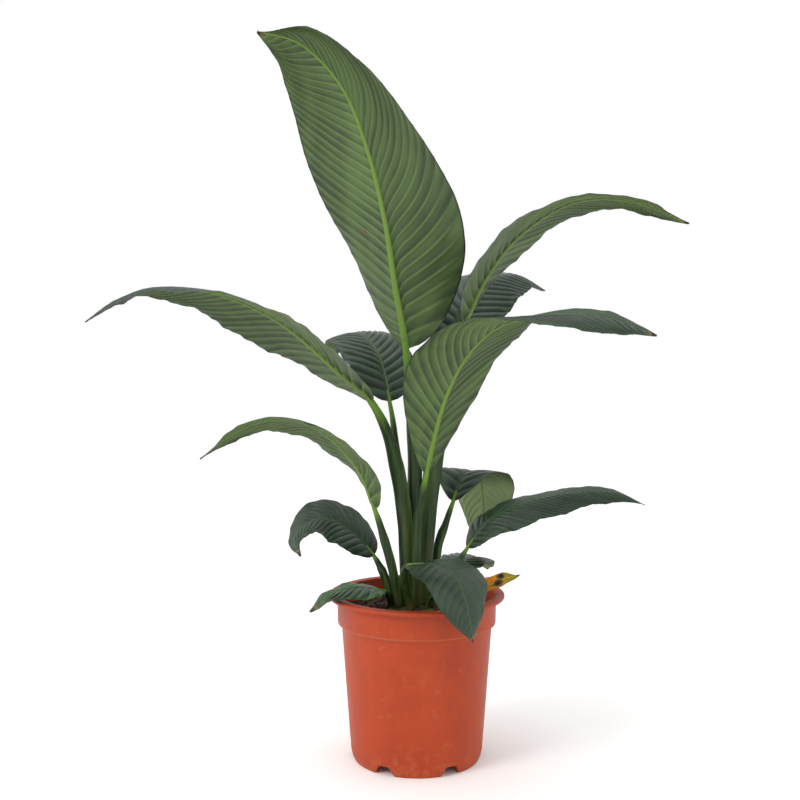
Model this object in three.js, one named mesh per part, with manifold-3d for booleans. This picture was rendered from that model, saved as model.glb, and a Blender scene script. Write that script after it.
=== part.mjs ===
// A potted peace lily: a terracotta-coloured nursery pot, potting soil, the crown
// of the plant, and fourteen leaves, each a stem and a blade.
// Millimetres, +Z up. X runs left to right and Y runs from front to back.
// The origin is on the ground, under the centre of the pot.
import * as THREE from 'three';
import { mergeVertices } from 'three/addons/utils/BufferGeometryUtils.js';
import Module from 'manifold-3d';

const wasm = await Module();
wasm.setup();

// ---- driving dimensions ----

const GAP = 0.3; // clearance kept between touching pieces

const POT = {
  height: 198,
  lipRadius: 105,
  lipThickness: 4.5,
  lipInnerRadius: 92.5,
  collarRadius: 95,
  collarDepth: 35,
  bodyTopRadius: 90,
  bodyLowRadius: 79,
  footRadius: 75,
  footWidth: 4,
  wall: 2.2,
  floorRise: 12,
  floorThickness: 2.2,
  centreFootRadius: 22,
  ramp: 5,
  segments: 48,
};

const NOTCH = { count: 6, height: 11.5, topWidth: 13, bottomWidth: 27, depth: 14 };

const DRAIN = { count: 6, radius: 5, distance: 48, sides: 12 };

const SOIL = { edgeHeight: 175, crownHeight: 182, segments: 40 };

const CROWN = { top: 184, topRadius: 36, neckRadius: 30, bottom: 128, bottomRadius: 12, x: -3, sides: 24 };

const BLADE = {
  stations: 12,
  across: [-1, -0.66, -0.33, 0, 0.33, 0.66, 1],
  widest: 0.37,
  roundness: 0.78,
  tipStart: 0.82,
  tipDraw: 0.45,
  thickness: 1.2,
  tipWidth: 0.8,
};

const STEM = { sides: 8, stations: 10 };

// Each leaf: the stem's foot on the crown, then points along the stem and the
// midrib. bladeFrom is the point where the blade starts. upper is the way the
// upper side faces there. roll turns the blade about its midrib and fold lifts
// its two halves, both in degrees at even steps from base to tip. left and
// right widen or narrow one half, at even steps too.
const LEAVES = [
  {
    name: 'tall_centre', foot: [-4, 11], footRadius: 8.2, bladeFrom: 3, halfWidth: 82,
    route: [[-3, 9, 300], [-4, 4, 390], [-13, -7, 490], [-25, -13, 560], [-37, -22, 635],
      [-56, -36, 712], [-84, -58, 780], [-127, -88, 821], [-172, -118, 828]],
    upper: [0, 1, 0], roll: [-26, -20, 2, 14, 20], fold: [35, 28, 22],
    left: [1.1, 1.15, 1.18, 1.18, 1.1, 0.98, 0.85, 0.85, 0.3],
    right: [1, 1, 1.06, 1.2, 1.35],
  },
  {
    name: 'upper_right', foot: [10, 2], footRadius: 8.4, bladeFrom: 3, halfWidth: 60,
    route: [[16, 6, 300], [34, 9, 420], [58, 8, 522], [88, 6, 585], [128, 2, 630],
      [185, -6, 662], [250, -12, 662], [318, -12, 636]],
    upper: [-0.9, 0.1, 0.4], roll: [-12, -12, -8, -6, -4], fold: [14, 0, 0],
  },
  {
    name: 'front_right', foot: [-1, -15], footRadius: 5.4, bladeFrom: 2, halfWidth: 66,
    route: [[1, -19, 285], [11, -34, 345], [20, -54, 392], [31, -78, 435], [48, -100, 474],
      [72, -120, 504], [104, -138, 521], [150, -156, 527], [200, -166, 521], [245, -172, 504]],
    upper: [-0.2, 1, 0.3], roll: [5, 9, 30, 55, 66], fold: [25, 20, 1, -5],
    left: [0.4, 0.74, 1.02, 1.2, 1.3],
    right: [0.4, 0.74, 1.02, 1.2, 1.3],
  },
  {
    name: 'back_right', foot: [9, 21], footRadius: 6, bladeFrom: 3, halfWidth: 52,
    route: [[12, 32, 300], [24, 48, 400], [42, 70, 488], [62, 92, 545], [95, 118, 578],
      [135, 148, 586], [175, 178, 568]],
    upper: [-0.6, -0.8, 0.4], roll: [12, 12, 12, 8, 0], fold: [10, -8, -12],
  },
  {
    name: 'upper_left', foot: [-12, -4], footRadius: 8.6, bladeFrom: 3, halfWidth: 58,
    route: [[-15, -6, 290], [-30, -10, 375], [-54, -16, 428], [-88, -20, 460], [-155, -22, 518],
      [-228, -22, 553], [-302, -16, 562], [-352, -10, 548], [-392, -6, 522]],
    upper: [0.7, 0.1, 0.7], roll: [15, 18, 18, 0, -45], fold: [8, -14, -10],
  },
  {
    name: 'back_left', foot: [-14, 23], footRadius: 5.2, bladeFrom: 3, halfWidth: 46,
    route: [[-18, 34, 300], [-26, 44, 380], [-33, 52, 425], [-46, 76, 478], [-68, 112, 508],
      [-94, 156, 506], [-118, 196, 478]],
    upper: [0.4, -0.9, 0.4], roll: [0, 0, 0, 0, 0], fold: [15, 0, -5],
  },
  {
    name: 'mid_left', foot: [-22, -14], footRadius: 5.4, bladeFrom: 3, halfWidth: 45,
    route: [[-28, -16, 225], [-38, -20, 265], [-50, -25, 303], [-70, -30, 352], [-112, -36, 395],
      [-159, -40, 409], [-206, -40, 396], [-252, -38, 363]],
    upper: [0.8, 0.2, 0.5], roll: [4, 8, 10, 8, 0], fold: [18, -7, 0],
  },
  {
    name: 'low_left', foot: [-30, 9], footRadius: 4.8, bladeFrom: 2, halfWidth: 38,
    route: [[-38, 12, 212], [-52, 14, 240], [-76, 14, 267], [-106, 10, 286], [-133, 4, 281],
      [-147, -4, 262], [-138, -10, 243]],
    upper: [0.7, 0, 0.7], roll: [-27, -27, -24, -10, 0], fold: [10, 4, 0],
  },
  {
    name: 'rim_left', foot: [-31, -6], footRadius: 4, bladeFrom: 2, halfWidth: 26,
    route: [[-33, -15, 197], [-40, -24, 205], [-62, -36, 211], [-88, -42, 210], [-108, -46, 204],
      [-124, -50, 186]],
    upper: [0, -0.2, 1], roll: [0, 0, 0, 0, 0], fold: [5, 0, 0],
  },
  {
    name: 'front_rim', foot: [-6, -27], footRadius: 4.8, bladeFrom: 3, halfWidth: 45,
    route: [[-13, -34, 215], [-14, -46, 236], [-4, -60, 243], [20, -80, 248], [40, -102, 242],
      [52, -122, 214], [60, -128, 172]],
    upper: [0, 0, 1], roll: [0, 0, 0, 0, 0], fold: [10, 0, -5],
  },
  {
    name: 'mid_right', foot: [23, 17], footRadius: 5, bladeFrom: 3, halfWidth: 46,
    route: [[26, 30, 241], [36, 36, 275], [46, 44, 302], [60, 62, 333], [80, 88, 330],
      [88, 108, 290], [84, 120, 232]],
    upper: [-0.5, -0.6, 0.6], roll: [0, 0, 0, 0, 0], fold: [15, 5, 0],
    left: [0.55, 1, 1, 1, 1],
    right: [0.55, 1, 1, 1, 1],
  },
  {
    name: 'low_right', foot: [20, -7], footRadius: 4.4, bladeFrom: 2, halfWidth: 33,
    route: [[42, 8, 218], [62, 12, 250], [88, 20, 281], [138, 30, 304], [200, 34, 315],
      [245, 30, 314], [278, 24, 300]],
    upper: [-0.6, -0.2, 0.7], roll: [10, 14, 16, 14, 10], fold: [0, -15, -10],
  },
  {
    name: 'low_back', foot: [27, 5], footRadius: 4.2, bladeFrom: 2, halfWidth: 28,
    route: [[38, 20, 204], [48, 40, 216], [62, 74, 224], [82, 114, 218], [98, 150, 196]],
    upper: [0, -0.3, 1], roll: [0, 0, 0, 0, 0], fold: [10, 5, 0],
  },
  {
    name: 'yellowing', foot: [11, -19], footRadius: 3, bladeFrom: 2, halfWidth: 13,
    route: [[20, -24, 200], [50, -28, 206], [76, -31, 210], [100, -31, 220], [121, -30, 226]],
    upper: [0, -0.5, 1], roll: [0, 0, 0, 0, 0], fold: [15, 10, 5],
  },
];

// ---- materials ----

function finish(colour, roughness) {
  return new THREE.MeshStandardMaterial({ color: colour, roughness, metalness: 0, side: THREE.DoubleSide });
}

const terracottaPlastic = finish('#b0532f', 0.45);
const pottingSoil = finish('#3a2218', 0.95);
const crownSkin = finish('#5a5f33', 0.7);
const stemGreen = finish('#3f5f26', 0.45);
const leafGreen = finish('#3d5a3c', 0.4);
const yellowedLeaf = finish('#c08a25', 0.5);

// ---- solids and booleans ----

function toSolid(geometry) {
  const bare = geometry.index ? geometry.clone() : geometry;
  bare.deleteAttribute('normal');
  bare.deleteAttribute('uv');
  const merged = mergeVertices(bare, 1e-4);
  const mesh = new wasm.Mesh({
    numProp: 3,
    vertProperties: new Float32Array(merged.attributes.position.array),
    triVerts: new Uint32Array(merged.index.array),
  });
  return new wasm.Manifold(mesh);
}

function toGeometry(solid) {
  const mesh = solid.getMesh();
  const geometry = new THREE.BufferGeometry();
  geometry.setAttribute('position', new THREE.BufferAttribute(new Float32Array(mesh.vertProperties), 3));
  geometry.setIndex(new THREE.BufferAttribute(new Uint32Array(mesh.triVerts), 1));
  geometry.computeVertexNormals();
  return geometry;
}

// A round solid about Z from [radius, height] pairs that start and end on the axis.
function turned(profile, segments) {
  const outline = profile.map(([radius, height]) => new THREE.Vector2(radius, height));
  const geometry = new THREE.LatheGeometry(outline, segments);
  geometry.rotateX(Math.PI / 2);
  return geometry;
}

// A closed skin over a row of rings that all have the same number of points. Its two
// halves are split along matching diagonals, so the sides of a thin blade never cross.
function loft(rings) {
  const count = rings[0].length;
  const positions = rings.flat().flatMap((point) => point.toArray());
  const faces = [];
  for (let i = 0; i < rings.length - 1; i += 1) {
    for (let j = 0; j < count; j += 1) {
      const a = i * count + j;
      const b = i * count + ((j + 1) % count);
      if (j < count / 2) {
        faces.push(a, b, b + count, a, b + count, a + count);
      } else {
        faces.push(a, b, a + count, b, b + count, a + count);
      }
    }
  }
  const last = (rings.length - 1) * count;
  for (let j = 1; j < count - 1; j += 1) {
    faces.push(0, j + 1, j);
    faces.push(last, last + j, last + j + 1);
  }
  const geometry = new THREE.BufferGeometry();
  geometry.setAttribute('position', new THREE.Float32BufferAttribute(positions, 3));
  geometry.setIndex(faces);
  geometry.computeVertexNormals();
  return geometry;
}

// ---- the pot ----

// The outside of the pot, from the axis out along the base and up to the lip.
function potOuterProfile() {
  const ledge = POT.height - POT.collarDepth;
  const footInner = POT.footRadius - POT.footWidth;
  return [
    [0, 0],
    [POT.centreFootRadius, 0],
    [POT.centreFootRadius + POT.ramp, POT.floorRise],
    [footInner - POT.ramp, POT.floorRise],
    [footInner, 0],
    [POT.footRadius, 0],
    [POT.bodyLowRadius - 0.8, POT.floorRise - 3],
    [POT.bodyLowRadius, POT.floorRise],
    [POT.bodyTopRadius, ledge - 1],
    [POT.collarRadius - 1.5, ledge],
    [POT.collarRadius - 0.5, ledge + 1.5],
    [POT.collarRadius, POT.height - POT.lipThickness],
    [POT.lipRadius - 0.6, POT.height - POT.lipThickness],
    [POT.lipRadius, POT.height - POT.lipThickness + 1],
    [POT.lipRadius, POT.height - 1.6],
    [POT.lipRadius - 1.6, POT.height],
  ];
}

// The inside of the pot, from the lip down the wall and in to the axis.
function potInnerProfile() {
  const ledge = POT.height - POT.collarDepth;
  const floorTop = POT.floorRise + POT.floorThickness;
  return [
    [POT.lipInnerRadius + 1, POT.height],
    [POT.lipInnerRadius, POT.height - 1.5],
    [POT.lipInnerRadius - 0.5, ledge + 2],
    [POT.bodyTopRadius - POT.wall, ledge - 2],
    [POT.bodyLowRadius - POT.wall, floorTop],
    [POT.centreFootRadius + POT.ramp - 1, floorTop],
    [POT.centreFootRadius - 1, POT.floorThickness],
    [0, POT.floorThickness],
  ];
}

// A wedge that cuts one drain notch through the foot, centred on the +X side.
function notchCutter() {
  const outline = new THREE.Shape();
  outline.moveTo(-NOTCH.bottomWidth / 2 - 1, -1);
  outline.lineTo(NOTCH.bottomWidth / 2 + 1, -1);
  outline.lineTo(NOTCH.topWidth / 2, NOTCH.height);
  outline.lineTo(-NOTCH.topWidth / 2, NOTCH.height);
  outline.closePath();
  const geometry = new THREE.ExtrudeGeometry(outline, { depth: NOTCH.depth, bevelEnabled: false });
  geometry.rotateX(Math.PI / 2);
  geometry.rotateZ(Math.PI / 2);
  geometry.translate(POT.footRadius - NOTCH.depth + 5, 0, 0);
  return geometry;
}

function drainCutter() {
  const geometry = new THREE.CylinderGeometry(DRAIN.radius, DRAIN.radius, 10, DRAIN.sides);
  geometry.rotateX(Math.PI / 2);
  geometry.translate(DRAIN.distance, 0, POT.floorRise);
  return geometry;
}

// Repeats a cutter around the pot, half a step away from the front.
function cutAround(solid, cutter, count) {
  let cut = solid;
  for (let i = 0; i < count; i += 1) {
    const turn = -Math.PI / 2 + ((i + 0.5) * 2 * Math.PI) / count;
    cut = cut.subtract(toSolid(cutter.clone().rotateZ(turn)));
  }
  return cut;
}

function potGeometry() {
  const profile = [...potOuterProfile(), ...potInnerProfile()];
  let solid = toSolid(turned(profile, POT.segments));
  solid = cutAround(solid, notchCutter(), NOTCH.count);
  solid = cutAround(solid, drainCutter(), DRAIN.count);
  return toGeometry(solid);
}

// ---- the soil and the crown ----

function crownProfile(grow) {
  return [
    [0, CROWN.bottom - grow],
    [CROWN.bottomRadius + grow, CROWN.bottom - grow],
    [CROWN.neckRadius + grow, CROWN.top - 16],
    [CROWN.topRadius + grow, CROWN.top - 7],
    [CROWN.topRadius - 1 + grow, CROWN.top],
    [0, CROWN.top],
  ];
}

function crownGeometry(grow = 0) {
  return turned(crownProfile(grow), CROWN.sides).translate(CROWN.x, 0, 0);
}

function soilProfile() {
  const floorTop = POT.floorRise + POT.floorThickness + GAP;
  const ledge = POT.height - POT.collarDepth;
  return [
    [0, floorTop],
    [POT.bodyLowRadius - POT.wall - GAP, floorTop],
    [POT.bodyTopRadius - POT.wall - GAP, ledge - 2],
    [POT.lipInnerRadius - 0.5 - GAP, ledge + 2],
    [POT.lipInnerRadius - 0.5 - GAP, SOIL.edgeHeight],
    [60, SOIL.edgeHeight + 3],
    [CROWN.topRadius + 6, SOIL.crownHeight],
    [0, SOIL.crownHeight],
  ];
}

// The soil fills the pot and has a pocket that the crown sits in. The pocket is
// open at the top, because the crown stands a little proud of the soil.
function soilGeometry() {
  const soil = toSolid(turned(soilProfile(), SOIL.segments));
  return toGeometry(soil.subtract(toSolid(crownGeometry(GAP))));
}

// ---- leaves ----

// The whole centre line of a leaf: stem first, then the midrib.
function leafPoints(leaf) {
  const foot = [leaf.foot[0], leaf.foot[1], CROWN.top + GAP];
  return [foot, ...leaf.route].map((point) => new THREE.Vector3(...point));
}

// Evenly spaced points on the line through the given points.
function spaced(points, count) {
  return new THREE.CatmullRomCurve3(points, false, 'catmullrom', 0.5).getSpacedPoints(count - 1);
}

function tangentsOf(points) {
  return points.map((point, i) => {
    const before = points[Math.max(i - 1, 0)];
    const after = points[Math.min(i + 1, points.length - 1)];
    return after.clone().sub(before).normalize();
  });
}

// A value between evenly spaced knots, with t from 0 to 1.
function between(knots, t) {
  const place = t * (knots.length - 1);
  const low = Math.min(Math.floor(place), knots.length - 2);
  const part = place - low;
  return knots[low] * (1 - part) + knots[low + 1] * part;
}

// A side direction for each point, carried along the line without twisting.
function carried(start, tangents) {
  const sides = [];
  let side = start.clone();
  for (const tangent of tangents) {
    side = side.clone().addScaledVector(tangent, -side.dot(tangent)).normalize();
    sides.push(side);
  }
  return sides;
}

// Half the width of a blade as a share of its widest, from base (0) to tip (1).
function bladeOutline(t) {
  const shift = Math.log(0.5) / Math.log(BLADE.widest);
  const oval = Math.pow(Math.sin(Math.PI * Math.pow(t, shift)), BLADE.roundness);
  const drawn = Math.max((t - BLADE.tipStart) / (1 - BLADE.tipStart), 0);
  return oval * (1 - BLADE.tipDraw * drawn * drawn);
}

// One ring of a blade: across the upper side, then back across the underside.
function bladeRing(centre, upward, sideways, halfWidths, fold) {
  const ring = [];
  const half = BLADE.thickness / 2;
  for (const face of [1, -1]) {
    const across = face === 1 ? BLADE.across : [...BLADE.across].reverse();
    for (const place of across) {
      const reach = Math.abs(place) * (place < 0 ? halfWidths.left : halfWidths.right);
      ring.push(centre.clone()
        .addScaledVector(sideways, Math.sign(place) * reach * Math.cos(fold))
        .addScaledVector(upward, reach * Math.sin(fold) + face * half));
    }
  }
  return ring;
}

// Directions averaged with their neighbours, so that wide rings don't cross in a tight bend.
function steadied(directions) {
  return directions.map((direction, i) => {
    const before = directions[Math.max(i - 1, 0)];
    const after = directions[Math.min(i + 1, directions.length - 1)];
    return direction.clone().multiplyScalar(2).add(before).add(after).normalize();
  });
}

function bladeGeometry(leaf) {
  const line = spaced(leafPoints(leaf).slice(leaf.bladeFrom), BLADE.stations);
  const tangents = steadied(steadied(tangentsOf(line)));
  const uppers = carried(new THREE.Vector3(...leaf.upper), tangents);
  const rings = line.map((centre, i) => {
    const t = i / (BLADE.stations - 1);
    const roll = THREE.MathUtils.degToRad(between(leaf.roll, t));
    const fold = THREE.MathUtils.degToRad(between(leaf.fold, t));
    const upward = uppers[i].clone().applyAxisAngle(tangents[i], roll);
    const sideways = tangents[i].clone().cross(upward);
    const stemWidth = leaf.footRadius * 0.5 * (1 - t);
    const halfWidth = leaf.halfWidth * bladeOutline(Math.min(t, 0.999)) + stemWidth + BLADE.tipWidth;
    const halfWidths = {
      left: halfWidth * between(leaf.left ?? [1, 1], t),
      right: halfWidth * between(leaf.right ?? [1, 1], t),
    };
    return bladeRing(centre, upward, sideways, halfWidths, fold);
  });
  return loft(rings);
}

// A stem widens from its foot into its sheath, narrows above it, and swells a little under the blade.
function stemRadius(leaf, t) {
  const sheath = 0.8 + 0.2 * Math.min(t / 0.3, 1);
  const narrowing = 0.5 * THREE.MathUtils.smoothstep(t, 0.66, 0.96);
  const swell = 0.12 * Math.exp(-Math.pow((t - 0.9) / 0.07, 2));
  return leaf.footRadius * (sheath - narrowing + swell);
}

function stemGeometry(leaf) {
  const line = spaced(leafPoints(leaf).slice(0, leaf.bladeFrom + 1), STEM.stations);
  const tangents = tangentsOf(line);
  line[line.length - 1].addScaledVector(tangents[tangents.length - 1], -2 * GAP);
  const sides = carried(new THREE.Vector3(1, 0, 0), tangents);
  const rings = line.map((centre, i) => {
    const radius = stemRadius(leaf, i / (STEM.stations - 1));
    const across = i === 0 ? new THREE.Vector3(0, 1, 0) : tangents[i].clone().cross(sides[i]);
    const along = i === 0 ? new THREE.Vector3(1, 0, 0) : sides[i];
    return Array.from({ length: STEM.sides }, (_, j) => {
      const angle = (j * 2 * Math.PI) / STEM.sides;
      return centre.clone()
        .addScaledVector(along, radius * Math.cos(angle))
        .addScaledVector(across, radius * Math.sin(angle));
    });
  });
  return loft(rings);
}

// ---- the plant in its pot ----

function piece(name, geometry, material) {
  const mesh = new THREE.Mesh(geometry, material);
  mesh.name = name;
  return mesh;
}

const pottedPeaceLily = new THREE.Group();
pottedPeaceLily.add(piece('pot', potGeometry(), terracottaPlastic));
pottedPeaceLily.add(piece('soil', soilGeometry(), pottingSoil));

const plant = new THREE.Group();
plant.add(piece('crown', crownGeometry(), crownSkin));
for (const leaf of LEAVES) {
  const bladeFinish = leaf.name === 'yellowing' ? yellowedLeaf : leafGreen;
  plant.add(piece(`stem_${leaf.name}`, stemGeometry(leaf), stemGreen));
  plant.add(piece(`blade_${leaf.name}`, bladeGeometry(leaf), bladeFinish));
}
pottedPeaceLily.add(plant);

export default pottedPeaceLily;
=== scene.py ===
# A potted peace lily: nursery pot, potting soil, crown and fourteen leaves.
import math
import random

import bmesh
import bpy
import numpy as np
from mathutils import Matrix, Vector, noise


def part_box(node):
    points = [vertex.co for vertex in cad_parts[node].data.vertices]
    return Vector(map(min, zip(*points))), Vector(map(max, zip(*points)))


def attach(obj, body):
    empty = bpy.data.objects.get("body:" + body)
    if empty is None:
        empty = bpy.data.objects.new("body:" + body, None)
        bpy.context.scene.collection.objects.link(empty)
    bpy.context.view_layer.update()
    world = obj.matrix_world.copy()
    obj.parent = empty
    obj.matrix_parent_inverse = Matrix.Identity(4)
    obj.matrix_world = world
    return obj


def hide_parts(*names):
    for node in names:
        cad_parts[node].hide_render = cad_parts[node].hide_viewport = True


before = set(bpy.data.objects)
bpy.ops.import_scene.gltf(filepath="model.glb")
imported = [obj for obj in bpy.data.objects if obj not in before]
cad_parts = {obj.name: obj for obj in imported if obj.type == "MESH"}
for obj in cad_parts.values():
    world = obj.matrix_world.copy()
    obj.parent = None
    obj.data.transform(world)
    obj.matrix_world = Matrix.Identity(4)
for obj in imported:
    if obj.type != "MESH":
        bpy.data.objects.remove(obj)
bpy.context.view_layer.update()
mm = 0.001
print("frame loaded,", len(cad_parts), "CAD nodes")


# small helpers for meshes

def smoothStep(low, high, x):
    t = np.clip((x - low) / (high - low), 0, 1)
    return t * t * (3 - 2 * t)


def unit(vectors):
    return vectors / np.maximum(np.linalg.norm(vectors, axis=-1, keepdims=True), 1e-12)


def pieceFromMesh(name, mesh, node, finishes):
    piece = bpy.data.objects.new(name, mesh)
    bpy.context.scene.collection.objects.link(piece)
    for finish in finishes:
        mesh.materials.append(finish)
    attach(piece, "root")
    if node:
        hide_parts(node)
    return piece


def meshFromGrid(name, points, quads, uvName, uvs, values):
    # points are in millimetres
    mesh = bpy.data.meshes.new(name)
    mesh.from_pydata((points * mm).tolist(), [], quads.tolist())
    layer = mesh.uv_layers.new(name=uvName)
    layer.data.foreach_set("uv", uvs.astype(np.float32).ravel())
    for key, data in values.items():
        attribute = mesh.attributes.new(key, "FLOAT", "POINT")
        attribute.data.foreach_set("value", data.astype(np.float32).ravel())
    mesh.polygons.foreach_set("use_smooth", [True] * len(mesh.polygons))
    mesh.update()
    return mesh


# small helpers for materials

def rgb(red, green, blue):
    # screen colour 0-255 to the linear colour that a socket takes
    def linear(c):
        c = c / 255
        return c / 12.92 if c <= 0.04045 else ((c + 0.055) / 1.055) ** 2.4
    return (linear(red), linear(green), linear(blue), 1)


def newFinish(name):
    finish = bpy.data.materials.new(name)
    finish.use_nodes = True
    tree = finish.node_tree
    tree.nodes.clear()
    output = tree.nodes.new("ShaderNodeOutputMaterial")
    shader = tree.nodes.new("ShaderNodeBsdfPrincipled")
    tree.links.new(shader.outputs[0], output.inputs[0])
    return finish, tree, shader


def addNode(tree, kind, inputs=None, **settings):
    made = tree.nodes.new("ShaderNode" + kind)
    for key, value in settings.items():
        setattr(made, key, value)
    for key, value in (inputs or {}).items():
        if isinstance(value, bpy.types.NodeSocket):
            tree.links.new(value, made.inputs[key])
        else:
            made.inputs[key].default_value = value
    return made


def calc(tree, operation, a, b=0.0):
    return addNode(tree, "Math", {0: a, 1: b}, operation=operation).outputs[0]


def times(tree, a, b):
    return calc(tree, "MULTIPLY", a, b)


def plus(tree, a, b):
    return calc(tree, "ADD", a, b)


def centred(tree, value):
    return calc(tree, "SUBTRACT", value, 0.5)


def fade(tree, value, low, high):
    # 0 below low, 1 above high, or the other way round when low is above high
    flip = low > high
    made = addNode(tree, "MapRange", {
        "Value": value, "From Min": min(low, high), "From Max": max(low, high),
        "To Min": 1.0 if flip else 0.0, "To Max": 0.0 if flip else 1.0,
    }, interpolation_type="SMOOTHSTEP")
    return made.outputs["Result"]


def spread(tree, value, low, high):
    # the usual range of a noise, laid out from low to high
    made = addNode(tree, "MapRange", {
        "Value": value, "From Min": 0.3, "From Max": 0.7, "To Min": low, "To Max": high,
    })
    return made.outputs["Result"]


def mixTint(tree, factor, a, b):
    return addNode(tree, "Mix", {0: factor, 6: a, 7: b}, data_type="RGBA").outputs[2]


def speckle(tree, where, scale, detail=4.0, roughness=0.55, distortion=0.0):
    made = addNode(tree, "TexNoise", {
        "Vector": where, "Scale": scale, "Detail": detail,
        "Roughness": roughness, "Distortion": distortion,
    })
    return made.outputs["Fac"]


def stretched(tree, where, scale):
    return addNode(tree, "Mapping", {"Vector": where, "Scale": scale}).outputs[0]


def attributeValue(tree, name):
    return addNode(tree, "Attribute", attribute_name=name).outputs["Fac"]


def bumpFrom(tree, height, strength, distance):
    made = addNode(tree, "Bump", {"Height": height, "Strength": strength, "Distance": distance})
    return made.outputs[0]


# leaf finishes

# each look also sets how strong the painted light and shade across each pleat is
upperLook = {
    "dark": rgb(20, 34, 24),
    "light": rgb(48, 72, 51),
    "vein": rgb(66, 92, 66),
    "veinWidth": 0.16,
    "veinStrength": 0.35,
    "pleatShadeStrength": 0.75,
    "bandChance": 0.30,
    "rib": rgb(54, 80, 44),
    "ribFrom": (0.45, 0.95),
    "fresh": rgb(54, 96, 32),
    "pale": rgb(96, 120, 84),
    "margin": rgb(24, 36, 20),
    "specular": 0.42,
    "roughness": (0.34, 0.50),
    "grain": 0.10,
}
underLook = {
    "dark": rgb(34, 50, 25),
    "light": rgb(84, 105, 60),
    "vein": rgb(112, 138, 76),
    "veinWidth": 0.22,
    "veinStrength": 0.5,
    "pleatShadeStrength": 0.6,
    "bandChance": 0.30,
    "rib": rgb(98, 128, 44),
    "ribFrom": (0.25, 0.75),
    "fresh": rgb(72, 112, 34),
    "pale": rgb(142, 162, 116),
    "margin": rgb(36, 48, 24),
    "specular": 0.40,
    "roughness": (0.46, 0.62),
    "grain": 0.16,
}
yellowLook = {
    "dark": rgb(158, 88, 6),
    "light": rgb(220, 144, 10),
    "vein": rgb(212, 160, 50),
    "veinWidth": 0.14,
    "veinStrength": 0.4,
    "pleatShadeStrength": 0.3,
    "bandChance": 0.20,
    "rib": rgb(196, 150, 44),
    "ribFrom": (0.2, 0.8),
    "fresh": rgb(96, 118, 28),
    "pale": rgb(210, 170, 80),
    "margin": rgb(120, 74, 20),
    "specular": 0.25,
    "roughness": (0.45, 0.6),
    "grain": 0.12,
}
dryTints = {"pale": rgb(104, 84, 44), "dark": rgb(26, 22, 14)}
veinFade = (1.02, 0.55)        # side veins fade out over this part of the half blade
marginFrom = (0.962, 0.992)
patchStrength = 0.7
veinletsPerVein = 7.0


def leafFinish(name, look):
    # bladeMap holds the count of side veins (u) and the place from midrib to margin (v)
    finish, tree, shader = newFinish(name)
    blade = addNode(tree, "UVMap", uv_map="bladeMap").outputs[0]
    split = addNode(tree, "SeparateXYZ", {0: blade})
    along, across = split.outputs[0], calc(tree, "ABSOLUTE", split.outputs[1])
    place = addNode(tree, "TexCoord").outputs["Object"]
    wander = times(tree, speckle(tree, place, 60.0, 2.0), 0.12)
    offVein = calc(tree, "ABSOLUTE", centred(tree, calc(tree, "FRACT", along)))
    onVein = fade(tree, offVein, 0.5 - look["veinWidth"], 0.5)
    pleats = attributeValue(tree, "pleats")
    onVein = times(tree, times(tree, onVein, pleats), fade(tree, across, *veinFade))

    # broad tone: leaf to leaf, patch to patch, and a random tone per band between side veins,
    # plus painted light and shade across each pleat: darker on one flank of each vein, lighter towards
    # the next
    patch = speckle(tree, place, 22.0, 3.0)
    sideOfRib = calc(tree, "SIGN", split.outputs[1])
    bandPlace = addNode(tree, "CombineXYZ", {0: calc(tree, "FLOOR", along), 1: sideOfRib})
    bandChance = addNode(tree, "TexWhiteNoise", {"Vector": bandPlace.outputs[0]}).outputs["Value"]
    tone = plus(tree, attributeValue(tree, "tone"), times(tree, centred(tree, patch), patchStrength))
    # painted light and shade: a ramp from dark just past each side vein to light before the next
    pleatShadeAndTone = centred(tree, fade(tree, calc(tree, "FRACT", along), 0.0, 0.9))
    pleatShadeAndTone = times(tree, pleatShadeAndTone, look["pleatShadeStrength"])
    pleatShadeAndTone = plus(tree, pleatShadeAndTone, times(tree, centred(tree, bandChance), look["bandChance"]))
    tone = plus(tree, tone, times(tree, pleatShadeAndTone, pleats))
    tint = mixTint(tree, fade(tree, tone, 0.0, 1.0), look["dark"], look["light"])
    tint = mixTint(tree, attributeValue(tree, "fresh"), tint, look["fresh"])
    tint = mixTint(tree, attributeValue(tree, "pale"), tint, look["pale"])

    # fine parallel veinlets between the side veins
    fine = calc(tree, "FRACT", times(tree, plus(tree, along, wander), veinletsPerVein))
    fine = calc(tree, "ABSOLUTE", centred(tree, fine))
    fineShare = times(tree, fade(tree, fine, 0.30, 0.5), 0.28)
    tint = mixTint(tree, fineShare, tint, mixTint(tree, 0.5, look["vein"], look["light"]))
    tint = mixTint(tree, times(tree, onVein, look["veinStrength"]), tint, look["vein"])

    # midrib, margin, freckles and dried places
    tint = mixTint(tree, fade(tree, attributeValue(tree, "rib"), *look["ribFrom"]), tint, look["rib"])
    tint = mixTint(tree, fade(tree, across, *marginFrom), tint, look["margin"])
    freckle = fade(tree, speckle(tree, place, 420.0, 2.0, 0.7), 0.70, 0.80)
    tint = mixTint(tree, times(tree, freckle, 0.35), tint, look["margin"])
    dry = plus(tree, attributeValue(tree, "dry"),
               times(tree, centred(tree, speckle(tree, place, 260.0)), 0.5))
    tint = mixTint(tree, fade(tree, dry, 0.30, 0.55), tint, dryTints["pale"])
    tint = mixTint(tree, fade(tree, dry, 0.55, 0.95), tint, dryTints["dark"])
    tree.links.new(tint, shader.inputs["Base Color"])

    low, high = look["roughness"]
    sheen = spread(tree, patch, low, high)
    tree.links.new(plus(tree, sheen, times(tree, freckle, 0.15)), shader.inputs["Roughness"])

    grain = speckle(tree, place, 900.0, 3.0)
    soft = speckle(tree, place, 120.0, 3.0)
    relief = plus(tree, times(tree, grain, look["grain"]), times(tree, fine, 0.5))
    relief = plus(tree, relief, times(tree, soft, 0.8))
    tree.links.new(bumpFrom(tree, relief, 0.35, 0.6 * mm), shader.inputs["Normal"])
    shader.inputs["Specular IOR Level"].default_value = look["specular"]
    return finish


# stem finish

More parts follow.
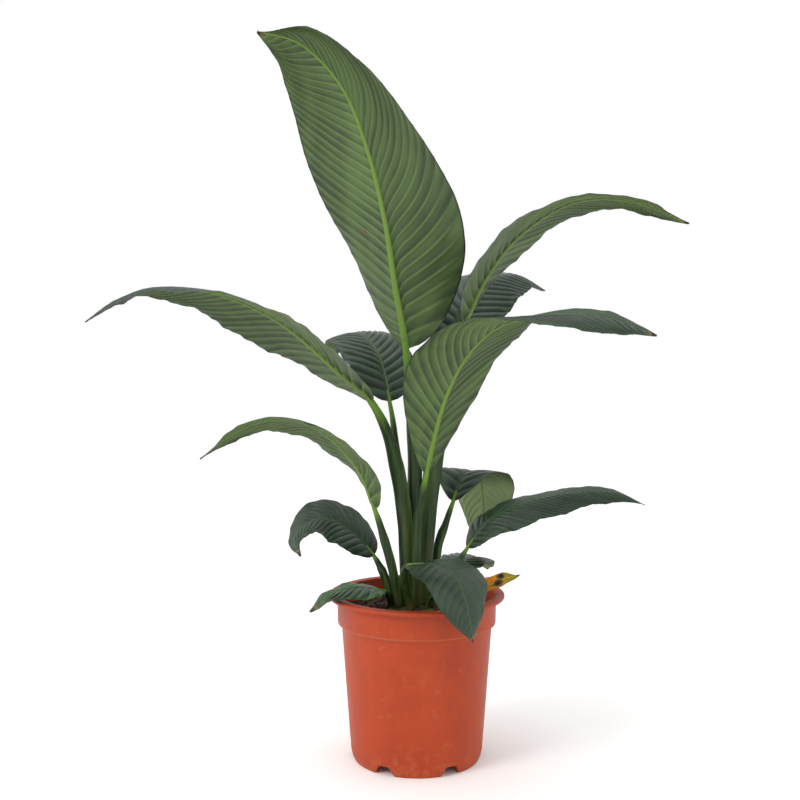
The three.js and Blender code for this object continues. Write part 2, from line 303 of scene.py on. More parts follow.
stemLook = {
    "dark": rgb(24, 40, 16),
    "mid": rgb(42, 66, 24),
    "olive": rgb(68, 80, 28),
    "edge": rgb(70, 112, 34),
    "top": rgb(100, 138, 40),
    "pale": rgb(98, 104, 54),
    "blush": rgb(96, 62, 36),
    "speck": rgb(70, 46, 26),
    "specular": 0.32,
}


def stemFinish(name, look):
    # stemMap holds the way round the stem (u) and the way up it in metres (v)
    finish, tree, shader = newFinish(name)
    stem = addNode(tree, "UVMap", uv_map="stemMap").outputs[0]
    place = addNode(tree, "TexCoord").outputs["Object"]
    streak = speckle(tree, stretched(tree, place, (260.0, 260.0, 9.0)), 1.0, 4.0, 0.6)
    broad = speckle(tree, stretched(tree, place, (60.0, 60.0, 8.0)), 1.0, 3.0)
    tone = plus(tree, times(tree, streak, 0.6), times(tree, broad, 0.4))
    tint = mixTint(tree, fade(tree, tone, 0.36, 0.62), look["dark"], look["mid"])
    olive = fade(tree, speckle(tree, stretched(tree, place, (150.0, 150.0, 5.0)), 1.0, 3.0), 0.54, 0.68)
    tint = mixTint(tree, times(tree, olive, 0.7), tint, look["olive"])
    tint = mixTint(tree, times(tree, attributeValue(tree, "edge"), 0.85), tint, look["edge"])
    tint = mixTint(tree, times(tree, attributeValue(tree, "top"), 0.85), tint, look["top"])
    foot = attributeValue(tree, "foot")
    tint = mixTint(tree, times(tree, foot, 0.4), tint, look["pale"])
    blush = fade(tree, speckle(tree, stretched(tree, place, (90.0, 90.0, 22.0)), 1.0, 3.0), 0.56, 0.70)
    tint = mixTint(tree, times(tree, times(tree, blush, foot), 0.8), tint, look["blush"])
    specks = speckle(tree, stretched(tree, place, (1.0, 1.0, 0.5)), 520.0, 2.0, 0.6)
    specks = fade(tree, specks, 0.69, 0.76)
    tint = mixTint(tree, times(tree, specks, 0.6), tint, look["speck"])
    tree.links.new(tint, shader.inputs["Base Color"])
    gloss = spread(tree, streak, 0.36, 0.55)
    tree.links.new(gloss, shader.inputs["Roughness"])
    ridges = speckle(tree, stretched(tree, stem, (46.0, 12.0, 1.0)), 1.0, 3.0)
    relief = plus(tree, ridges, times(tree, streak, 0.6))
    tree.links.new(bumpFrom(tree, relief, 0.4, 0.6 * mm), shader.inputs["Normal"])
    shader.inputs["Specular IOR Level"].default_value = look["specular"]
    return finish


leafUpper = leafFinish("leafUpperSide", upperLook)
leafUnder = leafFinish("leafUnderside", underLook)
leafYellow = leafFinish("yellowedLeaf", yellowLook)
stemSkin = stemFinish("leafStem", stemLook)
print("leaf finishes made")


# leaves

# Lengths in millimetres. route is the centre line above the foot, stem first; bladeFrom is the
# point on it where the blade starts. upper is the way the upper side faces there; roll turns it
# and fold lifts both halves, in degrees, evenly spaced from base to tip. left and right widen or
# narrow one side, tone and fresh set how light and how new the leaf is, pleats how strongly its
# side veins show, in relief, in colour and in the painted light and shade across its pleats,
# dried lists brown places as (along, across, size in mm).
leaves = {
    "tall_centre": {
        "foot": (-4, 11), "footRadius": 8.2, "bladeFrom": 3, "halfWidth": 82,
        "route": [(-3, 9, 300), (-4, 4, 390), (-13, -7, 490), (-25, -13, 560), (-37, -22, 635),
                  (-56, -36, 712), (-84, -58, 780), (-127, -88, 821), (-172, -118, 828)],
        "upper": (0, 1, 0), "roll": (-26, -20, 2, 14, 20), "fold": (35, 28, 22),
        "curl": 14, "waves": 5.0, "waveHeight": 1.2, "tone": 0.55, "fresh": 0.12,
        "dried": [(1.0, 0.0, 7), (0.33, 0.42, 4.2)],
        "left": (1.1, 1.15, 1.18, 1.18, 1.1, 0.98, 0.85, 0.85, 0.3),
        "right": (1, 1, 1.06, 1.2, 1.35),
    },
    "upper_right": {
        "foot": (10, 2), "footRadius": 8.4, "bladeFrom": 3, "halfWidth": 60,
        "route": [(16, 6, 300), (34, 9, 420), (58, 8, 522), (88, 6, 585), (128, 2, 630),
                  (185, -6, 662), (250, -12, 662), (318, -12, 636)],
        "upper": (-0.9, 0.1, 0.4), "roll": (-12, -12, -8, -6, -4), "fold": (14, 0, 0),
        "curl": -12, "waves": 4.0, "waveHeight": 1.1, "tone": 0.45, "fresh": 0.05,
        "dried": [(0.995, 0.0, 6)],
    },
    "front_right": {
        "foot": (-1, -15), "footRadius": 5.4, "bladeFrom": 2, "halfWidth": 66,
        "route": [(1, -19, 285), (11, -34, 345), (20, -54, 392), (31, -78, 435), (48, -100, 474),
                  (72, -120, 504), (104, -138, 521), (150, -156, 527), (200, -166, 521),
                  (245, -172, 504)],
        "upper": (-0.2, 1, 0.3), "roll": (5, 9, 30, 55, 66), "fold": (25, 20, 1, -5),
        "curl": -10, "waves": 4.5, "waveHeight": 1.0, "tone": 0.5, "fresh": 0.1,
        "dried": [(0.995, 0.0, 7)],
        "left": (0.4, 0.74, 1.02, 1.2, 1.3),
        "right": (0.4, 0.74, 1.02, 1.2, 1.3),
    },
    "back_right": {
        "foot": (9, 21), "footRadius": 6, "bladeFrom": 3, "halfWidth": 52,
        "route": [(12, 32, 300), (24, 48, 400), (42, 70, 488), (62, 92, 545), (95, 118, 578),
                  (135, 148, 586), (175, 178, 568)],
        "upper": (-0.6, -0.8, 0.4), "roll": (12, 12, 12, 8, 0), "fold": (10, -8, -12),
        "curl": -14, "waves": 4.0, "waveHeight": 1.1, "tone": 0.5, "fresh": 0.0,
        "dried": [(0.995, 0.0, 6)],
    },
    "upper_left": {
        "foot": (-12, -4), "footRadius": 8.6, "bladeFrom": 3, "halfWidth": 58,
        "route": [(-15, -6, 290), (-30, -10, 375), (-54, -16, 428), (-88, -20, 460), (-155, -22, 518),
                  (-228, -22, 553), (-302, -16, 562), (-352, -10, 548), (-392, -6, 522)],
        "upper": (0.7, 0.1, 0.7), "roll": (15, 18, 18, 0, -45), "fold": (8, -14, -10),
        "curl": -12, "waves": 5.0, "waveHeight": 1.4, "tone": 0.42, "fresh": 0.0,
        "dried": [(0.995, 0.0, 6), (0.30, 0.97, 4)],
    },
    "back_left": {
        "foot": (-14, 23), "footRadius": 5.2, "bladeFrom": 3, "halfWidth": 46,
        "route": [(-18, 34, 300), (-26, 44, 380), (-33, 52, 425), (-46, 76, 478), (-68, 112, 508),
                  (-94, 156, 506), (-118, 196, 478)],
        "upper": (0.4, -0.9, 0.4), "roll": (0, 0, 0, 0, 0), "fold": (15, 0, -5),
        "curl": -14, "waves": 4.0, "waveHeight": 1.0, "tone": 0.5, "pleats": 1.25, "fresh": 0.0,
        "dried": [(0.995, 0.0, 6)],
    },
    "mid_left": {
        "foot": (-22, -14), "footRadius": 5.4, "bladeFrom": 3, "halfWidth": 45,
        "route": [(-28, -16, 225), (-38, -20, 265), (-50, -25, 303), (-70, -30, 352), (-112, -36, 395),
                  (-159, -40, 409), (-206, -40, 396), (-252, -38, 363)],
        "upper": (0.8, 0.2, 0.5), "roll": (4, 8, 10, 8, 0), "fold": (18, -7, 0),
        "curl": -10, "waves": 4.0, "waveHeight": 0.9, "tone": 0.6, "fresh": 0.15,
        "dried": [(0.995, 0.0, 6)],
    },
    "low_left": {
        "foot": (-30, 9), "footRadius": 4.8, "bladeFrom": 2, "halfWidth": 38,
        "route": [(-38, 12, 212), (-52, 14, 240), (-76, 14, 267), (-106, 10, 286), (-133, 4, 281),
                  (-147, -4, 262), (-138, -10, 243)],
        "upper": (0.7, 0, 0.7), "roll": (-27, -27, -24, -10, 0), "fold": (10, 4, 0),
        "curl": -12, "waves": 3.0, "waveHeight": 1.1, "tone": 0.35, "pleats": 0.7, "fresh": 0.0,
        "dried": [(0.99, 0.0, 8), (0.05, 0.6, 3)],
    },
    "rim_left": {
        "foot": (-31, -6), "footRadius": 4, "bladeFrom": 2, "halfWidth": 26,
        "route": [(-33, -15, 197), (-40, -24, 205), (-62, -36, 211), (-88, -42, 210), (-108, -46, 204),
                  (-124, -50, 186)],
        "upper": (0, -0.2, 1), "roll": (0, 0, 0, 0, 0), "fold": (5, 0, 0),
        "curl": -18, "waves": 3.0, "waveHeight": 0.7, "tone": 0.55, "fresh": 0.95,
        "dried": [(0.99, 0.0, 10)],
    },
    "front_rim": {
        "foot": (-6, -27), "footRadius": 4.8, "bladeFrom": 3, "halfWidth": 45,
        "route": [(-13, -34, 215), (-14, -46, 236), (-4, -60, 243), (20, -80, 248), (40, -102, 242),
                  (52, -122, 214), (60, -128, 172)],
        "upper": (0, 0, 1), "roll": (0, 0, 0, 0, 0), "fold": (10, 0, -5),
        "curl": -16, "waves": 3.0, "waveHeight": 0.8, "tone": 0.5, "pleats": 0.35, "fresh": 0.0,
        "dried": [(0.995, 0.0, 5), (0.30, -0.96, 5)],
    },
    "mid_right": {
        "foot": (23, 17), "footRadius": 5, "bladeFrom": 3, "halfWidth": 46,
        "route": [(26, 30, 241), (36, 36, 275), (46, 44, 302), (60, 62, 333), (80, 88, 330),
                  (88, 108, 290), (84, 120, 232)],
        "upper": (-0.5, -0.6, 0.6), "roll": (0, 0, 0, 0, 0), "fold": (15, 5, 0),
        "curl": -14, "waves": 3.0, "waveHeight": 1.0, "tone": 0.45, "fresh": 0.0,
        "pale": 0.8,
        "dried": [(0.995, 0.0, 5)],
        "left": (0.55, 1, 1, 1, 1),
        "right": (0.55, 1, 1, 1, 1),
    },
    "low_right": {
        "foot": (20, -7), "footRadius": 4.4, "bladeFrom": 2, "halfWidth": 33,
        "route": [(42, 8, 218), (62, 12, 250), (88, 20, 281), (138, 30, 304), (200, 34, 315),
                  (245, 30, 314), (278, 24, 300)],
        "upper": (-0.6, -0.2, 0.7), "roll": (10, 14, 16, 14, 10), "fold": (0, -15, -10),
        "curl": -12, "waves": 4.0, "waveHeight": 0.9, "tone": 0.45, "pleats": 1.5, "fresh": 0.0,
        "dried": [(0.995, 0.0, 6)],
    },
    "low_back": {
        "foot": (27, 5), "footRadius": 4.2, "bladeFrom": 2, "halfWidth": 28,
        "route": [(38, 20, 204), (48, 40, 216), (62, 74, 224), (82, 114, 218), (98, 150, 196)],
        "upper": (0, -0.3, 1), "roll": (0, 0, 0, 0, 0), "fold": (10, 5, 0),
        "curl": -14, "waves": 3.0, "waveHeight": 0.7, "tone": 0.45, "fresh": 0.0,
        "dried": [(0.995, 0.0, 5)],
    },
    "yellowing": {
        "foot": (11, -19), "footRadius": 3, "bladeFrom": 2, "halfWidth": 13,
        "route": [(20, -24, 200), (50, -28, 206), (76, -31, 210), (100, -31, 220), (121, -30, 226)],
        "upper": (0, -0.5, 1), "roll": (0, 0, 0, 0, 0), "fold": (15, 10, 5),
        "curl": -8, "waves": 3.0, "waveHeight": 0.5, "tone": 0.5, "fresh": 0.0,
        "freshTip": 0.85,
        "dried": [(0.99, 0.0, 5), (0.62, 0.3, 7), (0.70, -0.5, 5)],
    },
}
bladeBuild = {
    "widest": 0.37, "roundness": 0.78, "tipStart": 0.82, "tipDraw": 0.45, "tipWidth": 0.8,
    "thickness": 0.44,
    "veinSpacing": 13.0, "veinSpacingSmall": 7.5,
    "veinRise": 0.24,              # how far a side vein climbs, as a share of the blade's length
    "puff": 1.5,                   # how far the blade bulges between side veins 11 mm apart
    "ribHeight": 0.52, "ribWidth": 0.39,   # shares of the foot radius, at the base of the blade
    "ribColumns": (0.0, 0.3, 0.6, 0.82, 0.95, 1.15),
    "laminaColumns": 17,
    "veinRows": (0.0, 0.07, 0.2, 0.4, 0.6, 0.8, 0.93),
    "marginColumns": (0.975, 1.0),
    "veinStart": (0.02, 0.14),     # the left side's veins leave the midrib half a step further on
    "slowWave": 1.4,               # height of the long waves that both halves share
    "stations": 240, "turnWindow": 22, "rollWindow": 16, "foldWindow": 20,
    "seed": 11,
}
stemBuild = {
    "sides": 28, "spacing": 4.0, "overlap": 14.0, "sunk": 6, "stations": 200,
    "groove": 0.26, "wings": 0.2, "keel": 0.05, "sheathEnds": 0.72,
    "neck": (0.66, 0.96), "neckShare": 0.5,   # where the stem narrows, and by how much
    "knee": 0.12, "kneeAt": 0.9, "kneeReach": 0.07,
}
pointsPerSpan = 40
fullTurn = 6.283


def splineLine(knots):
    # a smooth line through all the knots
    p = np.array(knots, float)
    p = np.vstack([2 * p[0] - p[1], p, 2 * p[-1] - p[-2]])
    t = np.linspace(0, 1, pointsPerSpan, endpoint=False)[:, None]
    spans = []
    for a, b, c, d in zip(p, p[1:], p[2:], p[3:]):
        bend = (2 * a - 5 * b + 4 * c - d) * t ** 2
        twist = (3 * b - a - 3 * c + d) * t ** 3
        spans.append(0.5 * (2 * b + (c - a) * t + bend + twist))
    return np.vstack(spans + [p[-2:-1]])


def evenly(line, count):
    lengths = np.r_[0, np.cumsum(np.linalg.norm(np.diff(line, axis=0), axis=1))]
    places = np.linspace(0, lengths[-1], count)
    return np.stack([np.interp(places, lengths, line[:, k]) for k in range(3)], 1), lengths[-1]


def carried(start, tangents):
    # a side direction at each point, carried along without twisting
    sides = []
    side = np.array(start, float)
    for tangent in tangents:
        side = unit(side - tangent * (side @ tangent))
        sides.append(side)
    return np.array(sides)


def turnedAbout(vectors, axes, angles):
    c, s = np.cos(angles)[:, None], np.sin(angles)[:, None]
    along = np.sum(axes * vectors, 1)[:, None]
    return vectors * c + np.cross(axes, vectors) * s + axes * along * (1 - c)


def between(knots, t):
    knots = np.atleast_1d(np.array(knots, float))
    if len(knots) == 1:
        return np.full_like(t, knots[0])
    return np.interp(t, np.linspace(0, 1, len(knots)), knots)


def softened(vectors, window):
    padded = np.pad(vectors, ((window, window), (0, 0)), mode="edge")
    kernel = np.hanning(2 * window + 3)[1:-1]
    kernel = kernel / kernel.sum()
    columns = [np.convolve(column, kernel, mode="valid") for column in padded.T]
    return np.stack(columns, 1)


def softenedDegrees(knots, t, window):
    return softened(np.radians(between(knots, t))[:, None], window)[:, 0]


def outlineShare(t):
    # half width of a blade as a share of its widest
    shape = bladeBuild
    t = np.clip(t, 0, 0.999)
    shift = math.log(0.5) / math.log(shape["widest"])
    oval = np.sin(math.pi * t ** shift) ** shape["roundness"]
    drawn = np.maximum((t - shape["tipStart"]) / (1 - shape["tipStart"]), 0)
    return oval * (1 - shape["tipDraw"] * drawn ** 2)


def leafTables(leaf, crownTop):
    # the leaf's line and its directions, ready to be looked up
    knots = [(*leaf["foot"], crownTop), *leaf["route"]]
    line = splineLine(knots)
    cut = leaf["bladeFrom"] * pointsPerSpan
    stations = bladeBuild["stations"]
    blade, length = evenly(line[cut:], stations)
    t = np.linspace(0, 1, stations)
    tangents = unit(np.gradient(blade, axis=0))
    steady = unit(softened(tangents, bladeBuild["turnWindow"]))
    ups = carried(leaf["upper"], steady)
    rolls = softenedDegrees(leaf["roll"], t, bladeBuild["rollWindow"])
    ups = turnedAbout(ups, steady, rolls)
    stem, stemLength = evenly(line[:cut + 1], stemBuild["stations"])
    return {
        "t": t, "blade": blade, "length": length, "up": ups, "side": np.cross(steady, ups),
        "fold": softenedDegrees(leaf["fold"], t, bladeBuild["foldWindow"]),
        "stem": stem, "stemLength": stemLength,
    }


def lookUp(table, key, t):
    data = table[key]
    if data.ndim == 1:
        return np.interp(t, table["t"], data)
    return np.stack([np.interp(t, table["t"], data[:, k]) for k in range(3)], -1)


def gridNormals(points):
    down = np.gradient(points, axis=0)
    across = np.gradient(points, axis=1)
    return unit(np.cross(across, down))


def bladeMesh(name, leaf, table, chance):
    shape = bladeBuild
    length = table["length"]
    small = smoothStep(60, 30, np.array(leaf["halfWidth"]))
    wideStep, smallStep = shape["veinSpacing"], shape["veinSpacingSmall"]
    spacing = wideStep + (smallStep - wideStep) * float(small)
    veins = max(8, round(length / spacing))
    rows = [(i + part) / veins for i in range(veins) for part in shape["veinRows"]]
    rows = np.array(rows + [1.0])
    ribs = np.array(shape["ribColumns"])
    lamina = np.linspace(0, 1, shape["laminaColumns"] + 1)[1:] ** 0.92
    lamina = np.append(lamina[:-1], shape["marginColumns"])
    half = [("rib", r) for r in ribs] + [("lamina", p) for p in lamina]
    columns = [(-1, *c) for c in reversed(half[1:])] + [(1, *c) for c in half]

    base = leaf["footRadius"]

    def wide(t):
        return leaf["halfWidth"] * outlineShare(t) + base * 0.5 * (1 - t) + shape["tipWidth"]

    def ribHalf(t):
        return np.minimum(base * shape["ribWidth"] * (1 - t) ** 1.15 + 0.5, 0.6 * wide(t))

    places = np.zeros((len(rows), len(columns), 3))
    shares = np.zeros((len(rows), len(columns)))
    alongs = np.zeros_like(shares)
    ribShare = np.zeros_like(shares)
    waveTurn = [chance.uniform(0, 6.28) for _ in range(8)]
    pleatShare = leaf.get("pleats", 1.0)
    for j, (sign, kind, value) in enumerate(columns):
        edge = ribHalf(rows) * ribs[-1]
        reach = value * ribHalf(rows) if kind == "rib" else edge + value * (wide(rows) - edge)
        q = reach / wide(rows)
        # side veins lean towards the tip, a little less where the blade ends
        rise = 4 * shape["veinRise"] * rows * (1 - rows) * (0.75 * q + 0.25 * q ** 3)
        rise = rise * (1 - 0.25 * smoothStep(0.75, 1.0, rows))
        ends = np.minimum(1, np.minimum(rows, 1 - rows) * veins / 3)
        offset = 0.5 / veins * ends * smoothStep(*shape["veinStart"], q) if sign < 0 else 0
        t = np.clip(rows + rise + offset, 0, 1)
        edge = ribHalf(t) * ribs[-1]
        sideWidth = between(leaf.get("left" if sign < 0 else "right", 1.0), t)
        full = wide(t) * sideWidth
        reach = value * ribHalf(t) if kind == "rib" else edge + value * (full - edge)
        q = reach / full
        fold = lookUp(table, "fold", t)
        curl = np.radians(between(leaf["curl"], t)) + 1e-5
        outward = full * (np.sin(fold + curl * q) - np.sin(fold)) / curl
        lift = full * (np.cos(fold) - np.cos(fold + curl * q)) / curl
        # slow waves along the margin, different on each side
        k = 0 if sign < 0 else 4
        wave = np.sin(fullTurn * leaf["waves"] * t + waveTurn[k])
        wave = wave + 0.5 * np.sin(fullTurn * leaf["waves"] * 2.3 * t + waveTurn[k + 1])
        wave = wave + 0.35 * np.sin(fullTurn * leaf["waves"] * 4.1 * t + waveTurn[k + 2])
        wave = wave * smoothStep(0.0, 0.15, t) * np.minimum(1, full / 20)
        lift = lift + leaf["waveHeight"] * wave * q ** 3
        slow = np.sin(fullTurn * 1.7 * t + waveTurn[3] + sign)
        slow = slow + 0.6 * np.sin(fullTurn * 3.1 * t + waveTurn[7])
        lift = lift + shape["slowWave"] * slow * q * smoothStep(0.0, 0.2, t)
        sideways = lookUp(table, "side", t) * (sign * outward)[:, None]
        places[:, j] = lookUp(table, "blade", t) + sideways + lookUp(table, "up", t) * lift[:, None]
        shares[:, j] = q * sign
        alongs[:, j] = t
        if kind == "rib":
            ribShare[:, j] = 1 - smoothStep(0.7, ribs[-1], value)

    # the blade bulges to its upper side between the veins
    phase = (rows * veins) % 1.0
    bulge = np.abs(np.sin(np.pi * phase)) ** 0.7 - 0.55
    doubled = np.abs(np.sin(2 * np.pi * phase)) ** 0.8 - 0.5
    strength = np.array([chance.uniform(0.65, 1.15) for _ in range(veins + 1)])
    strength = strength[np.minimum((rows * veins).astype(int), veins)]
    q = np.abs(shares)
    room = np.minimum(1, leaf["halfWidth"] * outlineShare(alongs) / 18)
    calm = smoothStep(0.03, 0.2, q) * (1 - 0.75 * smoothStep(0.7, 1.0, q)) * room
    normals = gridNormals(places)
    push = (bulge * strength)[:, None] + 0.22 * doubled[:, None]
    push = pleatShare * shape["puff"] * spacing / 11.0 * push * calm
    places = places + normals * push[..., None]
    normals = gridNormals(places)

    # skin on both sides, with the midrib as a ridge below and a groove above
    halfThick = 0.5 * shape["thickness"] * (1 - 0.6 * q ** 6)
    ribFrom = np.array([value if kind == "rib" else 9.0 for _, kind, value in columns])
    arch = np.sqrt(np.clip(1 - (ribFrom / 1.1) ** 2, 0, 1))[None, :]
    ribHeight = base * shape["ribHeight"] * (1 - alongs) ** 1.1 + 0.35
    ribHeight = ribHeight * smoothStep(-0.02, 0.04, alongs)
    groove = 0.35 * ribHalf(alongs) * np.clip(1 - (ribFrom / 0.95) ** 2, 0, 1)[None, :]
    above = places + normals * (halfThick - groove)[..., None]
    below = places - normals * (halfThick + ribHeight * arch)[..., None]

    count, width = shares.shape
    points = np.vstack([above.reshape(-1, 3), below.reshape(-1, 3)])
    top = np.arange(count * width).reshape(count, width)
    under = top + count * width
    i, j = np.meshgrid(np.arange(count - 1), np.arange(width - 1), indexing="ij")
    i, j = i.ravel(), j.ravel()
    topFaces = np.stack([top[i, j], top[i, j + 1], top[i + 1, j + 1], top[i + 1, j]], 1)
    underFaces = [under[i, j], under[i + 1, j], under[i + 1, j + 1], under[i, j + 1]]
    underFaces = np.stack(underFaces, 1)
    r = np.arange(count - 1)
    leftFaces = np.stack([top[r, 0], top[r + 1, 0], under[r + 1, 0], under[r, 0]], 1)
    rightFaces = np.stack([top[r, -1], under[r, -1], under[r + 1, -1], top[r + 1, -1]], 1)
    c = np.arange(width - 1)
    startFaces = np.stack([top[0, c], under[0, c], under[0, c + 1], top[0, c + 1]], 1)
    endFaces = np.stack([top[-1, c], top[-1, c + 1], under[-1, c + 1], under[-1, c]], 1)
    quads = np.vstack([topFaces, underFaces, leftFaces, rightFaces, startFaces, endFaces])

    veinPlace = np.repeat((rows * veins)[:, None], width, 1).ravel()
    uv = np.stack([np.tile(veinPlace, 2), np.tile(shares.ravel(), 2)], 1)
    patches = [(1.3, 0.7, waveTurn[0]), (2.9, 1.1, waveTurn[1]), (5.3, 2.3, waveTurn[2])]
    drift = sum(np.sin(fullTurn * (a * alongs + b * shares) + turn) for a, b, turn in patches) / 3
    tone = leaf["tone"] + 0.16 * drift
    dried = np.zeros_like(shares)
    for where, acrossAt, size in leaf["dried"]:
        du = (alongs - where) * length
        dv = (shares - acrossAt) * np.maximum(wide(alongs), 1)
        dried = np.maximum(dried, 1.1 * np.exp(-((du ** 2 + dv ** 2) / size ** 2)))
    fresh = leaf["fresh"] * smoothStep(-0.4, 0.8, drift)
    if "freshTip" in leaf:
        fresh = np.maximum(fresh, leaf["freshTip"] * smoothStep(0.62, 0.85, alongs))
    pale = leaf.get("pale", 0.0) * smoothStep(0.38, 0.55, alongs)
    values = {"rib": ribShare, "tone": tone, "dry": dried, "fresh": fresh, "pale": pale,
              "pleats": np.full_like(shares, pleatShare)}
    values = {key: np.tile(data.ravel(), 2) for key, data in values.items()}
    mesh = meshFromGrid(name, points, quads, "bladeMap", uv[quads.ravel()], values)
    slots = np.ones(len(quads), np.int32)
    slots[:len(topFaces)] = 0
    mesh.polygons.foreach_set("material_index", slots)
    return mesh


def stemMesh(name, leaf, table):
    shape = stemBuild
    count = max(30, round(table["stemLength"] / shape["spacing"]))
    whole = np.vstack([table["stem"], table["blade"][1:]])
    joined, _ = evenly(whole, len(whole))
    total = table["stemLength"] + table["length"]
    reach = table["stemLength"] + shape["overlap"]
    at = np.linspace(0, reach / total, count)
    marks = np.linspace(0, 1, len(joined))
    places = np.stack([np.interp(at, marks, joined[:, k]) for k in range(3)], 1)
    t = np.linspace(0, reach / table["stemLength"], count)
    tangents = unit(np.gradient(places, axis=0))
    ups = carried(table["up"][0], tangents[::-1])[::-1]
    sides = np.cross(tangents, ups)
    sheathed = 0.8 + 0.2 * np.minimum(t / 0.3, 1)
    narrowing = shape["neckShare"] * smoothStep(*shape["neck"], t)
    knee = shape["knee"] * np.exp(-(((t - shape["kneeAt"]) / shape["kneeReach"]) ** 2))
    radius = leaf["footRadius"] * (sheathed - narrowing + knee)
    radius = radius * np.where(t > 1, 1 - 0.45 * (t - 1) / max(t[-1] - 1, 1e-6), 1)
    places[0] = places[0] - np.array([0, 0, shape["sunk"]])
    angle = np.linspace(0, 2 * np.pi, shape["sides"], endpoint=False)
    turn = np.abs((angle + np.pi) % (2 * np.pi) - np.pi)      # 0 on the upper side
    sheathEnds = shape["sheathEnds"]
    sheath = (1 - smoothStep(sheathEnds - 0.05, sheathEnds + 0.02, t))[:, None]
    groove = shape["groove"] * np.exp(-((turn / 0.45) ** 2))[None, :] * (0.5 + 0.5 * sheath)
    wing = np.exp(-(((turn - 0.85) / 0.2) ** 2))[None, :]
    keel = shape["keel"] * np.exp(-(((turn - np.pi) / 0.5) ** 2))[None, :]
    uneven = 0.025 * np.sin(3 * angle[None, :] + 9 * t[:, None])
    uneven = uneven + 0.02 * np.sin(31 * t)[:, None]
    rim = radius[:, None] * (1 - groove + shape["wings"] * wing * sheath + keel + uneven)
    cosines, sines = np.cos(angle)[None, :, None], np.sin(angle)[None, :, None]
    ring = ups[:, None, :] * cosines + sides[:, None, :] * sines
    points = (places[:, None, :] + ring * rim[..., None]).reshape(-1, 3)
    n = shape["sides"]
    i, j = np.meshgrid(np.arange(count - 1), np.arange(n), indexing="ij")
    i, j = i.ravel(), j.ravel()
    after = (j + 1) % n
    quads = np.stack([i * n + j, i * n + after, (i + 1) * n + after, (i + 1) * n + j], 1)
    ends = np.vstack([places[0], places[-1]])
    points = np.vstack([points, ends])
    k = np.arange(0, n, 2)
    first, last = count * n, count * n + 1
    top = (count - 1) * n
    startCap = np.stack([np.full_like(k, first), (k + 2) % n, (k + 1) % n, k], 1)
    endCap = [np.full_like(k, last), top + k, top + (k + 1) % n, top + (k + 2) % n]
    endCap = np.stack(endCap, 1)
    quads = np.vstack([quads, startCap, endCap])
    u = np.tile(angle / (2 * np.pi), count)
    v = np.repeat(t * table["stemLength"] * mm, n)
    uv = np.vstack([np.stack([u, v], 1), [[0.5, 0], [0.5, v[-1]]]])
    corners = uv[quads.ravel()].reshape(-1, 4, 2)
    wraps = (corners[..., 0].max(1) - corners[..., 0].min(1)) > 0.5
    around = corners[..., 0]
    corners[..., 0] = np.where(wraps[:, None] & (around < 0.3), around + 1, around)
    bright = np.clip(wing * sheath * 0.9, 0, 1)
    top = np.repeat(smoothStep(0.84, 0.98, t)[:, None], n, 1)
    foot = np.repeat((1 - smoothStep(0.0, 0.28, t))[:, None], n, 1)
    values = {
        "edge": np.append(bright.ravel(), [0, 0]),
        "foot": np.append(foot.ravel(), [1, 0]),
        "top": np.append(top.ravel(), [0, 1]),
    }
    return meshFromGrid(name, points, quads, "stemMap", corners.reshape(-1, 2), values)


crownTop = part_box("crown")[1].z / mm
chance = random.Random(bladeBuild["seed"])
for leafName, leaf in leaves.items():
    table = leafTables(leaf, crownTop)
    skin = [leafYellow, leafYellow] if leafName == "yellowing" else [leafUpper, leafUnder]
    blade = bladeMesh(leafName + "Blade", leaf, table, chance)
    pieceFromMesh(leafName + "Blade", blade, "blade_" + leafName, skin)
    stem = stemMesh(leafName + "Stem", leaf, table)
    pieceFromMesh(leafName + "Stem", stem, "stem_" + leafName, [stemSkin])
print("leaves made:", len(leaves))


# pot

pot = {
    "segments": 144,
    "outside": [(0, 0), (22, 0), (27, 12), (66, 12), (71, 0), (75, 0), (77.2, 4), (78.3, 8.5),
                (79, 12), (82.7, 62), (86.3, 112), (89.8, 160), (90.2, 162), (91.6, 162.8),
                (93.6, 163.2), (94.4, 163.8), (94.6, 165), (95, 191.5), (95.4, 192.8),
                (96.6, 193.4), (103.2, 193.5), (104.5, 194), (105, 195), (105, 196.6),
                (104.5, 197.6), (103.4, 198)],
    "inside": [(93.8, 198), (92.9, 197.6), (92.5, 196.5), (92, 166), (91, 163.5), (87.8, 161),
               (82.3, 88), (76.8, 14.2), (26, 14.2), (21, 2.2), (0, 2.2)],
    "notches": 6, "notchHeight": 11.5, "notchTop": 13, "notchBottom": 27, "notchFrom": (67, 83),
    "holes": 6, "holeRadius": 5, "holeDistance": 48, "holeTurn": 0.019,
    "bevel": 0.35, "bevelAngle": 42, "sharpAngle": 35, "weld": 0.004,
    "light": rgb(170, 62, 24), "deep": rgb(156, 54, 21), "dusty": rgb(178, 98, 60),
    "grime": rgb(92, 50, 32), "lip": rgb(158, 54, 22), "specular": 0.28,
}


